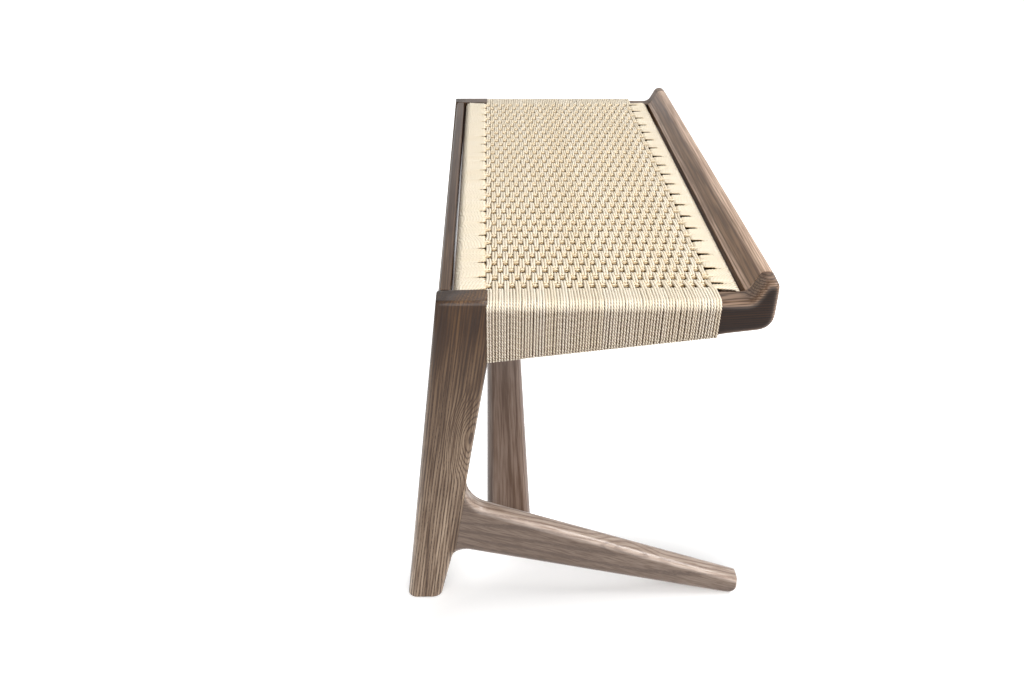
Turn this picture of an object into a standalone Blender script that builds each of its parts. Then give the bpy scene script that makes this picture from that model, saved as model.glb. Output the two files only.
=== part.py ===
"""Cantilevered walnut bench with a woven paper-cord seat, as separate named pieces.

Metres, +Z up. X runs along the bench, -Y is the front (the post side) and +Y the back (the lip side).
The origin lies on the floor under the middle of the bench. Outlines are written in (y, z), with y = 0
at the front edge of the weave and z = 0 at the floor, and the bench empty carries them to the origin.
"""

import math

import bmesh
import bpy
from mathutils import Vector

# Fits
GAP = 0.0003  # clearance between pieces that touch
OVERCUT = 0.02  # how far a cutter runs past the face it opens

# Seat
SEAT_HEIGHT = 0.432  # floor to the top of the cord
SEAT_SPAN = 0.666  # woven length, between the wrapped end rails
WEAVE_WIDTH = 0.240  # warp band, front to back
WEAVE_THICKNESS = 0.006  # two crossing cords
WEAVE_MARGIN = 0.003  # from the outer warp to the wrapped cord bar
WRAP_SPREAD = 0.002  # how much further back the cord reaches on the end rails than in the weave
CORD = 0.003  # diameter of the cord, and so of each wrapping

# End frames
FRAME_THICKNESS = 0.028  # posts, feet and end rails, along the bench
POST_TOP_WIDTH = 0.054
POST_LEAN = 0.051  # how much further forward the front edge is at the floor than at the top
POST_TO_WEAVE = 0.001  # from the back of the post to the first warp
POST_BACK_ANGLE = math.radians(8.9)  # lean of the post's back edge below the end rail
POST_HEEL_ANGLE = math.radians(13.0)  # lean of the post's back edge below the foot
POST_TOP_ROUND = 0.005
FOOT_END = 0.316  # how far back the foot reaches
FOOT_TOP_AT_POST = 0.155  # height of the foot's upper edge where it meets the post
FOOT_BOTTOM_AT_POST = 0.082
TOE_HEIGHT = 0.022
TOE_FLAT = 0.015  # from the start of the flat on the floor to the start of the toe's curve
TOE_RADIUS = 0.012
TOE_ROUND = 0.0085
TOE_END_ROUND = 0.004
UPPER_FILLET = 0.038
LOWER_FILLET = 0.018
LEG_ROUND = 0.0115  # rounding of the foot and of the lower post
ARRIS = 0.0005  # easing of an edge that is left crisp
RAIL_FRONT_DEPTH = 0.071  # end rail at the post
RAIL_BACK_DEPTH = 0.034  # end rail at the lip
RAIL_OUTER_ROUND = 0.007
RAIL_INNER_ROUND = 0.003

# Lip along the back
LIP_WIDTH = 0.0295
LIP_RISE = 0.023  # above the top of the end rail
LIP_LEDGE = 0.0025  # from the lip's inner face to the foot of its slope
LIP_SLOPE = 0.012  # how far the slope leans back
LIP_TOP_RADIUS = 0.0074
LIP_COVE = 0.010
LIP_FOOT_RADIUS = 0.018

# Rails, cord bars and stretcher
FRONT_RAIL_INSET = 0.0024  # behind the front of the post
FRONT_RAIL_WIDTH = 0.0122
FRONT_RAIL_DEPTH = 0.040
FRONT_RAIL_RADIUS = 0.003
FRONT_SLOT = 0.0034  # between the front rail and the wrapped bar
BACK_SLOT = 0.004
BACK_BAR_WIDTH = 0.020
BAR_DEPTH = 0.025
BAR_RADIUS = 0.005
STRETCHER_WIDTH = 0.0545
STRETCHER_THICKNESS = 0.026
STRETCHER_RADIUS = 0.010
STRETCHER_PLACE = 0.023  # middle of the stretcher, from the front edge of the weave
STRETCHER_DROP = 0.004  # below the foot's centre line

# Loose tenons
TENON_THICKNESS = 0.009
TENON_EASE = 0.0015
FRAME_TENON_REACH = 0.020  # into each piece, in the plane of an end frame
CROSS_TENON_REACH = 0.012  # into each piece, along the bench
POST_RAIL_TENON_HEIGHT = 0.030
POST_RAIL_TENON_DROP = 0.046  # middle of the tenon, below the top of the end rail
POST_FOOT_TENON_HEIGHT = 0.036
FRONT_RAIL_TENON = (0.005, 0.024)
FRONT_BAR_TENON = (0.016, 0.009)
BACK_BAR_TENON = (0.009, 0.009)
BACK_RAIL_TENON = (0.009, 0.026)
BACK_RAIL_TENON_DROP = 0.012  # middle of the tenon, below the top of the end rail
STRETCHER_TENON = (0.036, 0.009)

# Felt glides
GLIDE_THICKNESS = 0.002
GLIDE_INSET = 0.006  # from the edges of the sole
GLIDE_SETBACK = 0.003  # behind the start of the toe's flat
GLIDE_EASE = 0.0015

# Fineness
ARC_STEP = math.radians(12)
EDGE_STEP = 0.045  # longest straight run on an edge whose rounding changes
ROUND_SEGMENTS = 4
SHARP_BEND = math.radians(20)  # a corner bent more than this is mitred

# Heights
SOLE = GLIDE_THICKNESS + GAP
RAIL_TOP = SEAT_HEIGHT - CORD
BAR_TOP = RAIL_TOP

# Places along the bench, on its +X side
INNER_FACE = SEAT_SPAN / 2 + CORD
FRAME_MIDDLE = INNER_FACE + FRAME_THICKNESS / 2

# Places from front to back
POST_BACK = -POST_TO_WEAVE
POST_FRONT = POST_BACK - POST_TOP_WIDTH
POST_FLOOR_FRONT = POST_FRONT - POST_LEAN
FRONT_RAIL_OUT = POST_FRONT + FRONT_RAIL_INSET
FRONT_RAIL_IN = FRONT_RAIL_OUT + FRONT_RAIL_WIDTH
FRONT_BAR_OUT = FRONT_RAIL_IN + FRONT_SLOT + CORD
FRONT_BAR_IN = -WEAVE_MARGIN - CORD
BACK_BAR_IN = WEAVE_WIDTH + WEAVE_MARGIN + CORD
BACK_BAR_OUT = BACK_BAR_IN + BACK_BAR_WIDTH
LIP_IN = BACK_BAR_OUT + CORD + BACK_SLOT
LIP_OUT = LIP_IN + LIP_WIDTH
BUTT_START = LIP_IN + LIP_LEDGE - LIP_COVE  # ahead of the back rail the inner rims turn crisp
MIDDLE = (POST_FLOOR_FRONT + FOOT_END) / 2

# Edges of the end frame
RAIL_UNDERSIDE = RAIL_TOP - RAIL_FRONT_DEPTH
TOE_FLAT_END = FOOT_END - TOE_RADIUS
TOE_FLAT_START = TOE_FLAT_END - TOE_FLAT


def post_back_at(z):
    """Place of the post's leaning back edge at a height."""
    return POST_BACK - (RAIL_UNDERSIDE - z) * math.tan(POST_BACK_ANGLE)


def line_at(y, start, end):
    """Height at y of the line through two (y, z) points."""
    return start[1] + (end[1] - start[1]) * (y - start[0]) / (end[0] - start[0])


FOOT_TOP_START = (post_back_at(FOOT_TOP_AT_POST), FOOT_TOP_AT_POST)
FOOT_TOP_END = (FOOT_END, TOE_HEIGHT)
FOOT_BOTTOM_START = (post_back_at(FOOT_BOTTOM_AT_POST), FOOT_BOTTOM_AT_POST)
FOOT_BOTTOM_END = (TOE_FLAT_START, SOLE)
SOLE_FRONT = (POST_FLOOR_FRONT, SOLE)
SOLE_BACK = (
    FOOT_BOTTOM_START[0] - (FOOT_BOTTOM_AT_POST - SOLE) * math.tan(POST_HEEL_ANGLE),
    SOLE,
)
TOE_BELOW = (FOOT_END, line_at(FOOT_END, FOOT_BOTTOM_START, FOOT_BOTTOM_END))
RAIL_BOTTOM_START = (POST_BACK + GAP, RAIL_UNDERSIDE)
RAIL_BOTTOM_END = (LIP_OUT, RAIL_TOP - RAIL_BACK_DEPTH)
FOOT_CENTRE = (
    line_at(STRETCHER_PLACE, FOOT_TOP_START, FOOT_TOP_END)
    + line_at(STRETCHER_PLACE, FOOT_BOTTOM_START, FOOT_BOTTOM_END)
) / 2
STRETCHER_MIDDLE = FOOT_CENTRE - STRETCHER_DROP

WALNUT = ((0.165, 0.098, 0.064), 0.42)
CORD_PAPER = ((0.72, 0.60, 0.42), 0.85)
FELT = ((0.020, 0.018, 0.016), 0.95)


def clear_scene():
    """Removes whatever the scene holds."""
    for item in list(bpy.data.objects):
        bpy.data.objects.remove(item, do_unlink=True)


def collection(name):
    """A new collection in the scene."""
    made = bpy.data.collections.new(name)
    bpy.context.scene.collection.children.link(made)
    return made


def material(name, finish):
    """A Principled material of one colour and roughness."""
    made = bpy.data.materials.new(name)
    made.use_nodes = True
    shader = made.node_tree.nodes["Principled BSDF"]
    colour, roughness = finish
    shader.inputs["Base Color"].default_value = (*colour, 1.0)
    shader.inputs["Roughness"].default_value = roughness
    shader.inputs["Metallic"].default_value = 0.0
    return made


def rounded(corners):
    """Closed outline through (y, z, radius) corners, each radius drawn as an arc."""
    points = []
    count = len(corners)
    for index, (y, z, radius) in enumerate(corners):
        here = Vector((y, z))
        if radius == 0:
            points.append(here)
            continue
        back = (Vector(corners[index - 1][:2]) - here).normalized()
        ahead = (Vector(corners[(index + 1) % count][:2]) - here).normalized()
        opening = back.angle(ahead)
        reach = radius / math.tan(opening / 2)
        start = here + back * reach
        centre = here + (back + ahead).normalized() * (radius / math.sin(opening / 2))
        sweep = (math.pi - opening) * (1 if back.cross(ahead) < 0 else -1)
        steps = max(2, math.ceil(abs(sweep) / ARC_STEP))
        for step in range(steps + 1):
            turn = sweep * step / steps
            spoke = start - centre
            turned = Vector(
                (
                    spoke.x * math.cos(turn) - spoke.y * math.sin(turn),
                    spoke.x * math.sin(turn) + spoke.y * math.cos(turn),
                )
            )
            points.append(centre + turned)
    return points


def divided(points):
    """The outline with its long straight runs cut into short ones."""
    finer = []
    for index, point in enumerate(points):
        after = points[(index + 1) % len(points)]
        cuts = max(1, math.ceil((after - point).length / EDGE_STEP))
        for cut in range(cuts):
            finer.append(point.lerp(after, cut / cuts))
    return finer


def box_corners(y_low, y_high, z_low, z_high, radius):
    """Four corners of one radius."""
    return [
        (y_low, z_low, radius),
        (y_high, z_low, radius),
        (y_high, z_high, radius),
        (y_low, z_high, radius),
    ]


class Bench:
    """The collections, materials and parent that the pieces share."""

    def __init__(self):
        self.parts = collection("woven_bench")
        self.cutters = collection("cutters")
        self.empty = bpy.data.objects.new("bench_origin", None)
        self.empty.location = (0.0, -MIDDLE, 0.0)
        self.parts.objects.link(self.empty)

    def add(self, name, mesh, finish, location=(0.0, 0.0, 0.0), rotation=(0.0, 0.0, 0.0)):
        """A part with its own material, or a hidden cutter if it has no finish."""
        item = bpy.data.objects.new(name, mesh)
        item.location = location
        item.rotation_euler = rotation
        item.parent = self.empty
        if finish is None:
            self.cutters.objects.link(item)
            item.hide_render = True
            item.display_type = "WIRE"
        else:
            self.parts.objects.link(item)
            item.data.materials.clear()
            item.data.materials.append(material(name + "_finish", finish))
            item.data.shade_smooth()
            item.data.set_sharp_from_angle(angle=math.radians(35))
        return item

    def outline_mesh(self, name, outlines, length):
        """Mesh of one or more closed outlines, the inner ones holes, extruded along its own z."""
        curve = bpy.data.curves.new(name, "CURVE")
        curve.dimensions = "2D"
        curve.fill_mode = "BOTH"
        curve.extrude = length / 2
        for outline in outlines:
            spline = curve.splines.new("POLY")
            spline.points.add(len(outline) - 1)
            for point, (y, z) in zip(spline.points, outline):
                point.co = (y, z, 0.0, 1.0)
            spline.use_cyclic_u = True
        guide = bpy.data.objects.new(name, curve)
        bpy.context.scene.collection.objects.link(guide)
        graph = bpy.context.evaluated_depsgraph_get()
        mesh = bpy.data.meshes.new_from_object(guide.evaluated_get(graph))
        mesh.name = name
        bpy.data.objects.remove(guide, do_unlink=True)
        bpy.data.curves.remove(curve)
        shape = bmesh.new()
        shape.from_mesh(mesh)
        bmesh.ops.remove_doubles(shape, verts=shape.verts, dist=1e-6)
        if len(outlines) == 1:
            inside_caps = [
                edge
                for edge in shape.edges
                if all(abs(face.normal.z) > 0.99 for face in edge.link_faces)
            ]
            bmesh.ops.dissolve_edges(shape, edges=inside_caps, use_verts=False)
        bmesh.ops.recalc_face_normals(shape, faces=shape.faces)
        shape.to_mesh(mesh)
        shape.free()
        return mesh

    def outline_part(self, name, outlines, length, finish, x_middle=0.0):
        """Outlines in (y, z) extruded along the bench, about x_middle."""
        mesh = self.outline_mesh(name, outlines, length)
        upright = (math.pi / 2, 0.0, math.pi / 2)
        return self.add(name, mesh, finish, (x_middle, 0.0, 0.0), upright)

    def box_part(self, name, size, place, finish, lean=0.0, ease=0.0):
        """A box of a size in x, y and z, turned about the length of the bench, with eased edges."""
        mesh = bpy.data.meshes.new(name)
        shape = bmesh.new()
        bmesh.ops.create_cube(shape, size=1.0)
        bmesh.ops.scale(shape, vec=size, verts=shape.verts)
        shape.to_mesh(mesh)
        shape.free()
        item = self.add(name, mesh, finish, place, (lean, 0.0, 0.0))
        if ease:
            bevel = item.modifiers.new("eased", "BEVEL")
            bevel.width = ease
            bevel.segments = 1
        return item


def facing_left(outline):
    """The outline, turned if need be so that its inside lies to the left of each run."""
    area = sum(outline[index - 1].cross(point) for index, point in enumerate(outline))
    return outline if area > 0 else outline[::-1]


def rim_steps(outline, radii):
    """For each point, how far inward and how deep a rim goes whose runs have these radii."""
    steps = []
    for index, here in enumerate(outline):
        before = (here - outline[index - 1]).normalized()
        after = (outline[(index + 1) % len(outline)] - here).normalized()
        first = Vector((-before.y, before.x))
        second = Vector((-after.y, after.x))
        first_radius = radii[index - 1]
        second_radius = radii[index]
        bend = before.angle(after)
        if bend > SHARP_BEND:
            mitre = Vector(
                (
                    first_radius * second.y - second_radius * first.y,
                    second_radius * first.x - first_radius * second.x,
                )
            )
            steps.append((mitre / first.cross(second), max(first_radius, second_radius)))
        else:
            radius = (first_radius + second_radius) / 2
            inward = (first + second).normalized()
            steps.append((inward * (radius / math.cos(bend / 2)), radius))
    return steps


def plate_mesh(name, outline, thickness, side, radius_of):
    """Plate of an outline in (y, z), lofted in x, its rims rounded by radius_of(start, end, outer)."""
    outline = facing_left(outline)
    rings = []
    for cap in (-1, 1):
        radii = [
            radius_of(point, outline[(index + 1) % len(outline)], cap == side)
            for index, point in enumerate(outline)
        ]
        steps = rim_steps(outline, radii)
        turns = range(ROUND_SEGMENTS + 1)
        for turn in turns if cap > 0 else reversed(turns):
            angle = math.pi / 2 * turn / ROUND_SEGMENTS
            rings.append(
                [
                    (
                        cap * (thickness / 2 - depth * (1 - math.sin(angle))),
                        *(point + inward * (1 - math.cos(angle))),
                    )
                    for point, (inward, depth) in zip(outline, steps)
                ]
            )
    shape = bmesh.new()
    loops = [[shape.verts.new(place) for place in ring] for ring in rings]
    shape.faces.new(loops[0])
    shape.faces.new(loops[-1])
    for lower, upper in zip(loops, loops[1:]):
        for index in range(len(outline)):
            shape.faces.new((lower[index - 1], lower[index], upper[index], upper[index - 1]))
    bmesh.ops.recalc_face_normals(shape, faces=shape.faces)
    mesh = bpy.data.meshes.new(name)
    shape.to_mesh(mesh)
    shape.free()
    return mesh


def cut(item, cutter):
    """Takes the cutter's shape out of a piece."""
    boolean = item.modifiers.new("cut_" + cutter.name, "BOOLEAN")
    boolean.operation = "DIFFERENCE"
    boolean.solver = "EXACT"
    boolean.object = cutter


def loose_tenon(bench, name, size, place, pieces, lean=0.0):
    """A loose tenon, and a mortise for it with clearance all round in each piece that it joins."""
    bench.box_part(name, size, place, WALNUT, lean, TENON_EASE)
    pocket = [length + 2 * GAP for length in size]
    cutter = bench.box_part(name + "_mortise", pocket, place, None, lean)
    for piece in pieces:
        cut(piece, cutter)


def past(start, end):
    """The point an overcut further along a line than its end."""
    run = Vector(end) - Vector(start)
    return Vector(end) + run.normalized() * OVERCUT


def leg_corners():
    """Outline of post and foot together, run on below the floor, from the top of the post's front edge."""
    return [
        (POST_FRONT, SEAT_HEIGHT, 0.0),
        (*past((POST_FRONT, SEAT_HEIGHT), SOLE_FRONT), 0.0),
        (*past(FOOT_BOTTOM_START, SOLE_BACK), 0.0),
        (*FOOT_BOTTOM_START, LOWER_FILLET),
        (*TOE_BELOW, TOE_RADIUS),
        (*FOOT_TOP_END, 0.0),
        (*FOOT_TOP_START, UPPER_FILLET),
        (POST_BACK, RAIL_UNDERSIDE, 0.0),
        (POST_BACK, SEAT_HEIGHT, 0.0),
    ]


def between(low, high, share):
    """The value a share of the way from low to high, and no further than either."""
    return low + (high - low) * min(1.0, max(0.0, share))


def leg_radius(start, end, outer):
    """Rounding of a leg's rims: small at the top and the toe, full between, none where a rail butts."""
    y, z = (start + end) / 2
    if z > SEAT_HEIGHT - GAP:
        return POST_TOP_ROUND if outer else ARRIS
    if y > POST_BACK - GAP and z > RAIL_UNDERSIDE:
        return ARRIS
    if y > TOE_FLAT_END and z < TOE_HEIGHT:
        return between(TOE_ROUND, TOE_END_ROUND, (y - TOE_FLAT_END) / TOE_RADIUS)
    if y > POST_BACK:
        return between(LEG_ROUND, TOE_ROUND, y / TOE_FLAT_START)
    return between(POST_TOP_ROUND, LEG_ROUND, (SEAT_HEIGHT - z) / (SEAT_HEIGHT - FOOT_TOP_AT_POST))


def joint_box(bench, name, toward_foot):
    """Cutter that keeps the post or the foot: a half space on one side of the joint between them."""
    across = Vector((0.0, math.cos(POST_BACK_ANGLE), -math.sin(POST_BACK_ANGLE)))
    height = (FOOT_TOP_AT_POST + FOOT_BOTTOM_AT_POST) / 2
    joint = Vector((0.0, post_back_at(height), height))
    reach = FOOT_END - POST_FLOOR_FRONT + SEAT_HEIGHT
    face = GAP / 2 if toward_foot else GAP * 3 / 2
    middle = joint + across * (face + (reach / 2 if toward_foot else -reach / 2))
    size = (SEAT_SPAN * 2, reach, reach * 2)
    return bench.box_part(name, size, middle, None, -POST_BACK_ANGLE)


def leg(bench, name, side):
    """Post and foot of one end, cut from one outline so that their surfaces run on."""
    outline = divided(rounded(leg_corners()))
    floor_size = (FRAME_THICKNESS * 2, 2 * (FOOT_END - POST_FLOOR_FRONT), 2 * OVERCUT)
    floor_place = (side * FRAME_MIDDLE, MIDDLE, SOLE - OVERCUT)
    floor = bench.box_part(f"{name}_floor", floor_size, floor_place, None)
    pieces = {}
    for piece, toward_foot in (("post", True), ("foot", False)):
        node = f"{name}_{piece}"
        mesh = plate_mesh(node, outline, FRAME_THICKNESS, side, leg_radius)
        item = bench.add(node, mesh, WALNUT, (side * FRAME_MIDDLE, 0.0, 0.0))
        cut(item, floor)
        cut(item, joint_box(bench, f"{node}_joint", toward_foot))
        pieces[piece] = item
    height = (FOOT_TOP_AT_POST + FOOT_BOTTOM_AT_POST) / 2
    loose_tenon(
        bench,
        f"{name}_post_foot_tenon",
        (TENON_THICKNESS, 2 * FRAME_TENON_REACH, POST_FOOT_TENON_HEIGHT),
        (side * FRAME_MIDDLE, post_back_at(height), height),
        pieces.values(),
        -POST_BACK_ANGLE,
    )
    return pieces["post"], pieces["foot"]


def lip_corners():
    """Upper and outer edges of the lip, from the slot over the lip to its outer foot."""
    top = RAIL_TOP + LIP_RISE
    slope_foot = LIP_IN + LIP_LEDGE
    slope_head = slope_foot + LIP_SLOPE
    radius = min(LIP_TOP_RADIUS, (LIP_OUT - slope_head) / 2)
    return [
        (slope_foot, RAIL_TOP, LIP_COVE),
        (slope_head, top, radius),
        (LIP_OUT, top, radius),
        (*RAIL_BOTTOM_END, LIP_FOOT_RADIUS),
    ]


def end_rail_radius(start, end, outer):
    """Rounding of an end rail's rims: none at the post, nor inside where the back rail butts."""
    y = (start.x + end.x) / 2
    if y < POST_BACK + 2 * GAP:
        return ARRIS
    if outer:
        return RAIL_OUTER_ROUND
    return ARRIS if y > BUTT_START else RAIL_INNER_ROUND


def rail_underside_at(y):
    """Height of the end rail's underside."""
    return line_at(y, RAIL_BOTTOM_START, RAIL_BOTTOM_END)


def end_rail(bench, name, side):
    """Tapering cantilever rail of one end, with the upturned lip at its back."""
    start, underside = RAIL_BOTTOM_START
    before_lip = [BUTT_START - RAIL_INNER_ROUND, BUTT_START]
    corners = [
        (start, underside, 0.0),
        (start, RAIL_TOP, 0.0),
        *((y, RAIL_TOP, 0.0) for y in before_lip),
        *lip_corners(),
        *((y, rail_underside_at(y), 0.0) for y in reversed(before_lip)),
    ]
    node = f"{name}_end_rail"
    mesh = plate_mesh(node, rounded(corners), FRAME_THICKNESS, side, end_rail_radius)
    return bench.add(node, mesh, WALNUT, (side * FRAME_MIDDLE, 0.0, 0.0))


def wrap_outline(front, back, offset):
    """Outline round the end rail between two places, standing off it by an offset."""
    spread = offset / math.cos(math.atan((RAIL_FRONT_DEPTH - RAIL_BACK_DEPTH) / LIP_OUT))
    corners = [
        (front, rail_underside_at(front) - spread, 0.0),
        (front, RAIL_TOP + offset, 0.0),
        (back, RAIL_TOP + offset, 0.0),
        (back, rail_underside_at(back) - spread, 0.0),
    ]
    return rounded(corners)


def wrap_radius(offset):
    """Rounding of a wrapping's long edges, which stand off the end rail's by an offset."""

    def radius_of(start, end, outer):
        if abs(start.x - end.x) < WEAVE_WIDTH / 2:
            return ARRIS
        return offset + (RAIL_OUTER_ROUND if outer else RAIL_INNER_ROUND)

    return radius_of


def end_wrap(bench, name, side):
    """Cord wrapped round an end rail, as one sleeve."""
    node = f"{name}_end_wrap"
    place = (side * FRAME_MIDDLE, 0.0, 0.0)
    thickness = FRAME_THICKNESS + 2 * CORD
    outline = wrap_outline(0.0, WEAVE_WIDTH + WRAP_SPREAD, CORD)
    mesh = plate_mesh(node, outline, thickness, side, wrap_radius(CORD))
    sleeve = bench.add(node, mesh, CORD_PAPER, place)
    core_outline = wrap_outline(-OVERCUT, WEAVE_WIDTH + OVERCUT, GAP)
    core_thickness = FRAME_THICKNESS + 2 * GAP
    core_mesh = plate_mesh(node + "_core", core_outline, core_thickness, side, wrap_radius(GAP))
    cut(sleeve, bench.add(node + "_core", core_mesh, None, place))


def back_rail(bench):
    """Rail along the back: the end rail's section behind the slot."""
    start = LIP_IN - OVERCUT
    corners = [
        (start, rail_underside_at(start), 0.0),
        (start, RAIL_TOP, 0.0),
        *lip_corners(),
    ]
    rail = bench.outline_part("back_rail", [rounded(corners)], 2 * (INNER_FACE - GAP), WALNUT)
    size = (2 * SEAT_SPAN, 2 * OVERCUT, 2 * RAIL_FRONT_DEPTH)
    cut(rail, bench.box_part("back_slot", size, (0.0, start, RAIL_TOP), None))
    return rail


def wrapped_bar(bench, name, y_low, y_high):
    """A cord bar and the cord wound round it."""
    z_low = BAR_TOP - BAR_DEPTH
    bar = bench.outline_part(
        f"{name}_cord_bar",
        [rounded(box_corners(y_low, y_high, z_low, BAR_TOP, BAR_RADIUS))],
        2 * (INNER_FACE - GAP),
        WALNUT,
    )
    outlines = [
        rounded(
            box_corners(
                y_low - stand, y_high + stand, z_low - stand, BAR_TOP + stand, BAR_RADIUS + stand
            )
        )
        for stand in (CORD, GAP)
    ]
    bench.outline_part(f"{name}_bar_wrap", outlines, SEAT_SPAN - 2 * GAP, CORD_PAPER)
    return bar


def cross_tenons(bench, name, section, y, z, rail, frame_pieces):
    """Loose tenons at both ends of a lengthwise piece, into the two end frames."""
    for (end, side), frame_piece in zip((("right", 1), ("left", -1)), frame_pieces):
        loose_tenon(
            bench,
            f"{end}_{name}_tenon",
            (2 * CROSS_TENON_REACH, *section),
            (side * INNER_FACE, y, z),
            (rail, frame_piece),
        )


def glide(bench, name, y_low, y_high, side):
    """Felt pad under a sole."""
    size = (FRAME_THICKNESS - 2 * GLIDE_INSET, y_high - y_low, GLIDE_THICKNESS)
    place = (side * FRAME_MIDDLE, (y_low + y_high) / 2, GLIDE_THICKNESS / 2)
    mesh_box = bench.box_part(name, size, place, FELT)
    bevel = mesh_box.modifiers.new("cut_corners", "BEVEL")
    bevel.width = GLIDE_EASE
    bevel.segments = 1
    bevel.limit_method = "WEIGHT"
    upright = mesh_box.data.attributes.new("bevel_weight_edge", "FLOAT", "EDGE")
    for edge in mesh_box.data.edges:
        first, second = (mesh_box.data.vertices[index].co for index in edge.vertices)
        upright.data[edge.index].value = 1.0 if abs(first.z - second.z) > GLIDE_THICKNESS / 2 else 0.0


def main():
    """Builds the whole bench."""
    clear_scene()
    bench = Bench()
    posts = []
    feet = []
    end_rails = []
    for name, side in (("right", 1), ("left", -1)):
        post, foot = leg(bench, name, side)
        rail = end_rail(bench, name, side)
        loose_tenon(
            bench,
            f"{name}_post_rail_tenon",
            (TENON_THICKNESS, 2 * FRAME_TENON_REACH, POST_RAIL_TENON_HEIGHT),
            (side * FRAME_MIDDLE, POST_BACK, RAIL_TOP - POST_RAIL_TENON_DROP),
            (post, rail),
        )
        end_wrap(bench, name, side)
        glide(bench, f"{name}_post_glide", POST_FLOOR_FRONT + GLIDE_INSET, SOLE_BACK[0] - GLIDE_INSET, side)
        glide(bench, f"{name}_foot_glide", TOE_FLAT_START + GLIDE_SETBACK, TOE_FLAT_END + GLIDE_INSET, side)
        posts.append(post)
        feet.append(foot)
        end_rails.append(rail)

    front_rail = bench.outline_part(
        "front_rail",
        [
            rounded(
                box_corners(
                    FRONT_RAIL_OUT,
                    FRONT_RAIL_IN,
                    SEAT_HEIGHT - FRONT_RAIL_DEPTH,
                    SEAT_HEIGHT,
                    FRONT_RAIL_RADIUS,
                )
            )
        ],
        2 * (INNER_FACE - GAP),
        WALNUT,
    )
    stretcher = bench.outline_part(
        "floor_stretcher",
        [
            rounded(
                box_corners(
                    STRETCHER_PLACE - STRETCHER_WIDTH / 2,
                    STRETCHER_PLACE + STRETCHER_WIDTH / 2,
                    STRETCHER_MIDDLE - STRETCHER_THICKNESS / 2,
                    STRETCHER_MIDDLE + STRETCHER_THICKNESS / 2,
                    STRETCHER_RADIUS,
                )
            )
        ],
        2 * (INNER_FACE - GAP),
        WALNUT,
    )
    lip = back_rail(bench)
    front_bar = wrapped_bar(bench, "front", FRONT_BAR_OUT, FRONT_BAR_IN)
    back_bar = wrapped_bar(bench, "back", BACK_BAR_IN, BACK_BAR_OUT)
    bench.box_part(
        "seat_weave",
        (SEAT_SPAN - 2 * GAP, WEAVE_WIDTH + 2 * (WEAVE_MARGIN - GAP), WEAVE_THICKNESS),
        (0.0, WEAVE_WIDTH / 2, SEAT_HEIGHT - WEAVE_THICKNESS / 2),
        CORD_PAPER,
    )

    front_rail_middle = (FRONT_RAIL_OUT + FRONT_RAIL_IN) / 2
    front_rail_height = SEAT_HEIGHT - FRONT_RAIL_DEPTH / 2
    cross_tenons(
        bench, "front_rail", FRONT_RAIL_TENON, front_rail_middle, front_rail_height, front_rail, posts
    )
    bar_height = BAR_TOP - BAR_DEPTH / 2
    front_bar_middle = (FRONT_BAR_OUT + FRONT_BAR_IN) / 2
    cross_tenons(bench, "front_bar", FRONT_BAR_TENON, front_bar_middle, bar_height, front_bar, posts)
    back_bar_middle = (BACK_BAR_IN + BACK_BAR_OUT) / 2
    cross_tenons(bench, "back_bar", BACK_BAR_TENON, back_bar_middle, bar_height, back_bar, end_rails)
    lip_middle = (LIP_IN + LIP_OUT) / 2
    lip_height = RAIL_TOP - BACK_RAIL_TENON_DROP
    cross_tenons(bench, "back_rail", BACK_RAIL_TENON, lip_middle, lip_height, lip, end_rails)
    cross_tenons(
        bench, "stretcher", STRETCHER_TENON, STRETCHER_PLACE, STRETCHER_MIDDLE, stretcher, feet
    )
    bpy.context.view_layer.update()


if __name__ == "__main__":
    main()
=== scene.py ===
"""Looks of a cantilevered walnut bench with a woven paper cord seat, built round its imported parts."""

import logging
import math
from collections.abc import Callable, Iterable, Sequence
from dataclasses import dataclass
from enum import Enum

import bpy
import numpy as np
from mathutils import Euler, Matrix, Vector


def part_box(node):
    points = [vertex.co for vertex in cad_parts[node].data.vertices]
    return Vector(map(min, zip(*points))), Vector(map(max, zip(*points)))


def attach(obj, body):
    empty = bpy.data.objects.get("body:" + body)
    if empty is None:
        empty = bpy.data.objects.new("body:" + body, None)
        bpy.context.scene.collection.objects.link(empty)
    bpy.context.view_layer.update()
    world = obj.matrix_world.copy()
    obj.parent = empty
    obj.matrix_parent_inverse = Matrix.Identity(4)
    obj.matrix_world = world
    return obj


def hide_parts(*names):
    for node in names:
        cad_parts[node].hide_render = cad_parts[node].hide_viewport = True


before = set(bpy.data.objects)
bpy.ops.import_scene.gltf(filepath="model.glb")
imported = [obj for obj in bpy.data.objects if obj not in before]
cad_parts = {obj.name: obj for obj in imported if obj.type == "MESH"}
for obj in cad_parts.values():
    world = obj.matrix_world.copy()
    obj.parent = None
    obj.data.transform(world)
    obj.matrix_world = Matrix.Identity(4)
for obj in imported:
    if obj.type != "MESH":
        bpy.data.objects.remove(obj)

log = logging.getLogger("bench")

Tree = bpy.types.NodeTree
Socket = bpy.types.NodeSocket
Range = tuple[float, float]
Point = tuple[float, float, float]

MERGE_DISTANCE = 1e-6
FLAT_ANGLE = math.radians(0.05)
SMOOTH_ANGLE = math.radians(40)
ARC_STEPS = 9
MM = 1000.0
IMAGE_WIDTH = 1024.0  # pixels
SENSOR_WIDTH = 36.0  # millimetres
WHITE = "#ffffff"
MIX_A, MIX_B = 6, 7  # the two inputs of a colour mix
BLEND = {"data_type": "RGBA", "out": 2}
MULTIPLY = {**BLEND, "blend_type": "MULTIPLY"}
SMOOTH = {"interpolation_type": "SMOOTHSTEP"}


class Side(Enum):
    """The two ends of the bench, along X."""

    RIGHT = 1
    LEFT = -1

    @property
    def label(self) -> str:
        """The name that the side's pieces start with."""
        return self.name.lower()


class Axis(Enum):
    """The level axes, along the bench and across it."""

    X = 0
    Y = 1


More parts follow.
